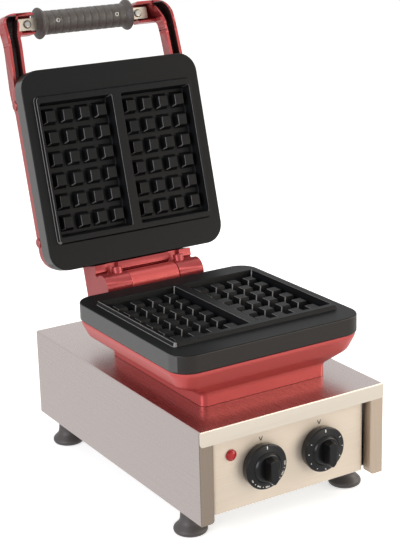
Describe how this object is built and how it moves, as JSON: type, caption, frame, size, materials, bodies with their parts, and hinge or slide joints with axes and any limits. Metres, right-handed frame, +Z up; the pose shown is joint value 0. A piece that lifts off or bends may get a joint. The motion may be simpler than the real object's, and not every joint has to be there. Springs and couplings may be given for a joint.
{
  "type": "belgian waffle maker",
  "caption": "Countertop waffle iron on a folded steel housing, with a hinged cast lid held open, a channelled handle bow, gridded cooking plates, dials and trumpet feet.",
  "frame": {"origin": "on the ground under the middle of the whole object's bounding box", "axes": "+X to the right seen from the front, across the dials; +Y from the dials to the back; +Z up, out of the cooking plate"},
  "size_m": [0.2572, 0.5072, 0.5444],
  "materials": {
    "stainless": "brushed",
    "zinc_steel": "zinc plated",
    "red_enamel": "satin metallic red",
    "coated_iron": "dark non-stick coat",
    "black_moulding": "satin black",
    "foot_moulding": "matte black",
    "grip_moulding": "brown black bakelite",
    "element_sheath": "heat darkened",
    "red_lens": "translucent red",
    "pale_moulding": "pale ceramic filled",
    "brass": "plain"
  },
  "bodies": {
    "base": {"housing_shell": "stainless", "bottom_plate": "zinc_steel", "control_panel": "stainless", "rear_panel": "stainless", "foot_front_left": "foot_moulding", "foot_screw_front_left": "zinc_steel", "foot_front_right": "foot_moulding", "foot_screw_front_right": "zinc_steel", "foot_rear_left": "foot_moulding", "foot_screw_rear_left": "zinc_steel", "foot_rear_right": "foot_moulding", "foot_screw_rear_right": "zinc_steel", "thermostat_body": "pale_moulding", "timer_body": "zinc_steel", "thermostat_bulb": "brass", "lamp_lens": "red_lens", "lamp_body": "black_moulding", "cable_gland": "black_moulding", "gland_nut": "black_moulding", "terminal_block": "pale_moulding", "earth_stud": "brass", "base_casting": "red_enamel", "casting_bolt_1": "zinc_steel", "casting_bolt_2": "zinc_steel", "casting_bolt_3": "zinc_steel", "casting_bolt_4": "zinc_steel", "lower_plate": "coated_iron", "lower_element": "element_sheath", "lower_clamp": "zinc_steel", "lower_clamp_screw_1": "zinc_steel", "lower_clamp_screw_2": "zinc_steel"},
    "thermostat_dial": {"thermostat_knob": "black_moulding", "thermostat_shaft": "zinc_steel"},
    "timer_dial": {"timer_knob": "black_moulding", "timer_shaft": "zinc_steel"},
    "lid": {"lid_casting": "red_enamel", "hinge_pin": "zinc_steel", "grub_screw_left": "zinc_steel", "grub_screw_right": "zinc_steel", "handle_bar": "stainless", "handle_grip": "grip_moulding", "handle_bolt_left": "zinc_steel", "handle_nut_left": "zinc_steel", "grip_screw_left": "zinc_steel", "handle_bolt_right": "zinc_steel", "handle_nut_right": "zinc_steel", "grip_screw_right": "zinc_steel", "upper_plate": "coated_iron", "upper_element": "element_sheath", "upper_clamp": "zinc_steel", "upper_clamp_screw_1": "zinc_steel", "upper_clamp_screw_2": "zinc_steel"}
  },
  "joints": [
    {"name": "lid_hinge", "type": "hinge", "parent": "base", "child": "lid", "pos_m": [0, 0.08042, 0.2112], "axis": [1, 0, 0], "range_deg": [0, 105]},
    {"name": "thermostat_turn", "type": "hinge", "parent": "base", "child": "thermostat_dial", "pos_m": [-0.04, -0.22658, 0.0805], "axis": [0, 1, 0], "range_deg": [0, 270]},
    {"name": "timer_turn", "type": "hinge", "parent": "base", "child": "timer_dial", "pos_m": [0.04, -0.22658, 0.0805], "axis": [0, 1, 0], "range_deg": [0, 300]}
  ]
}
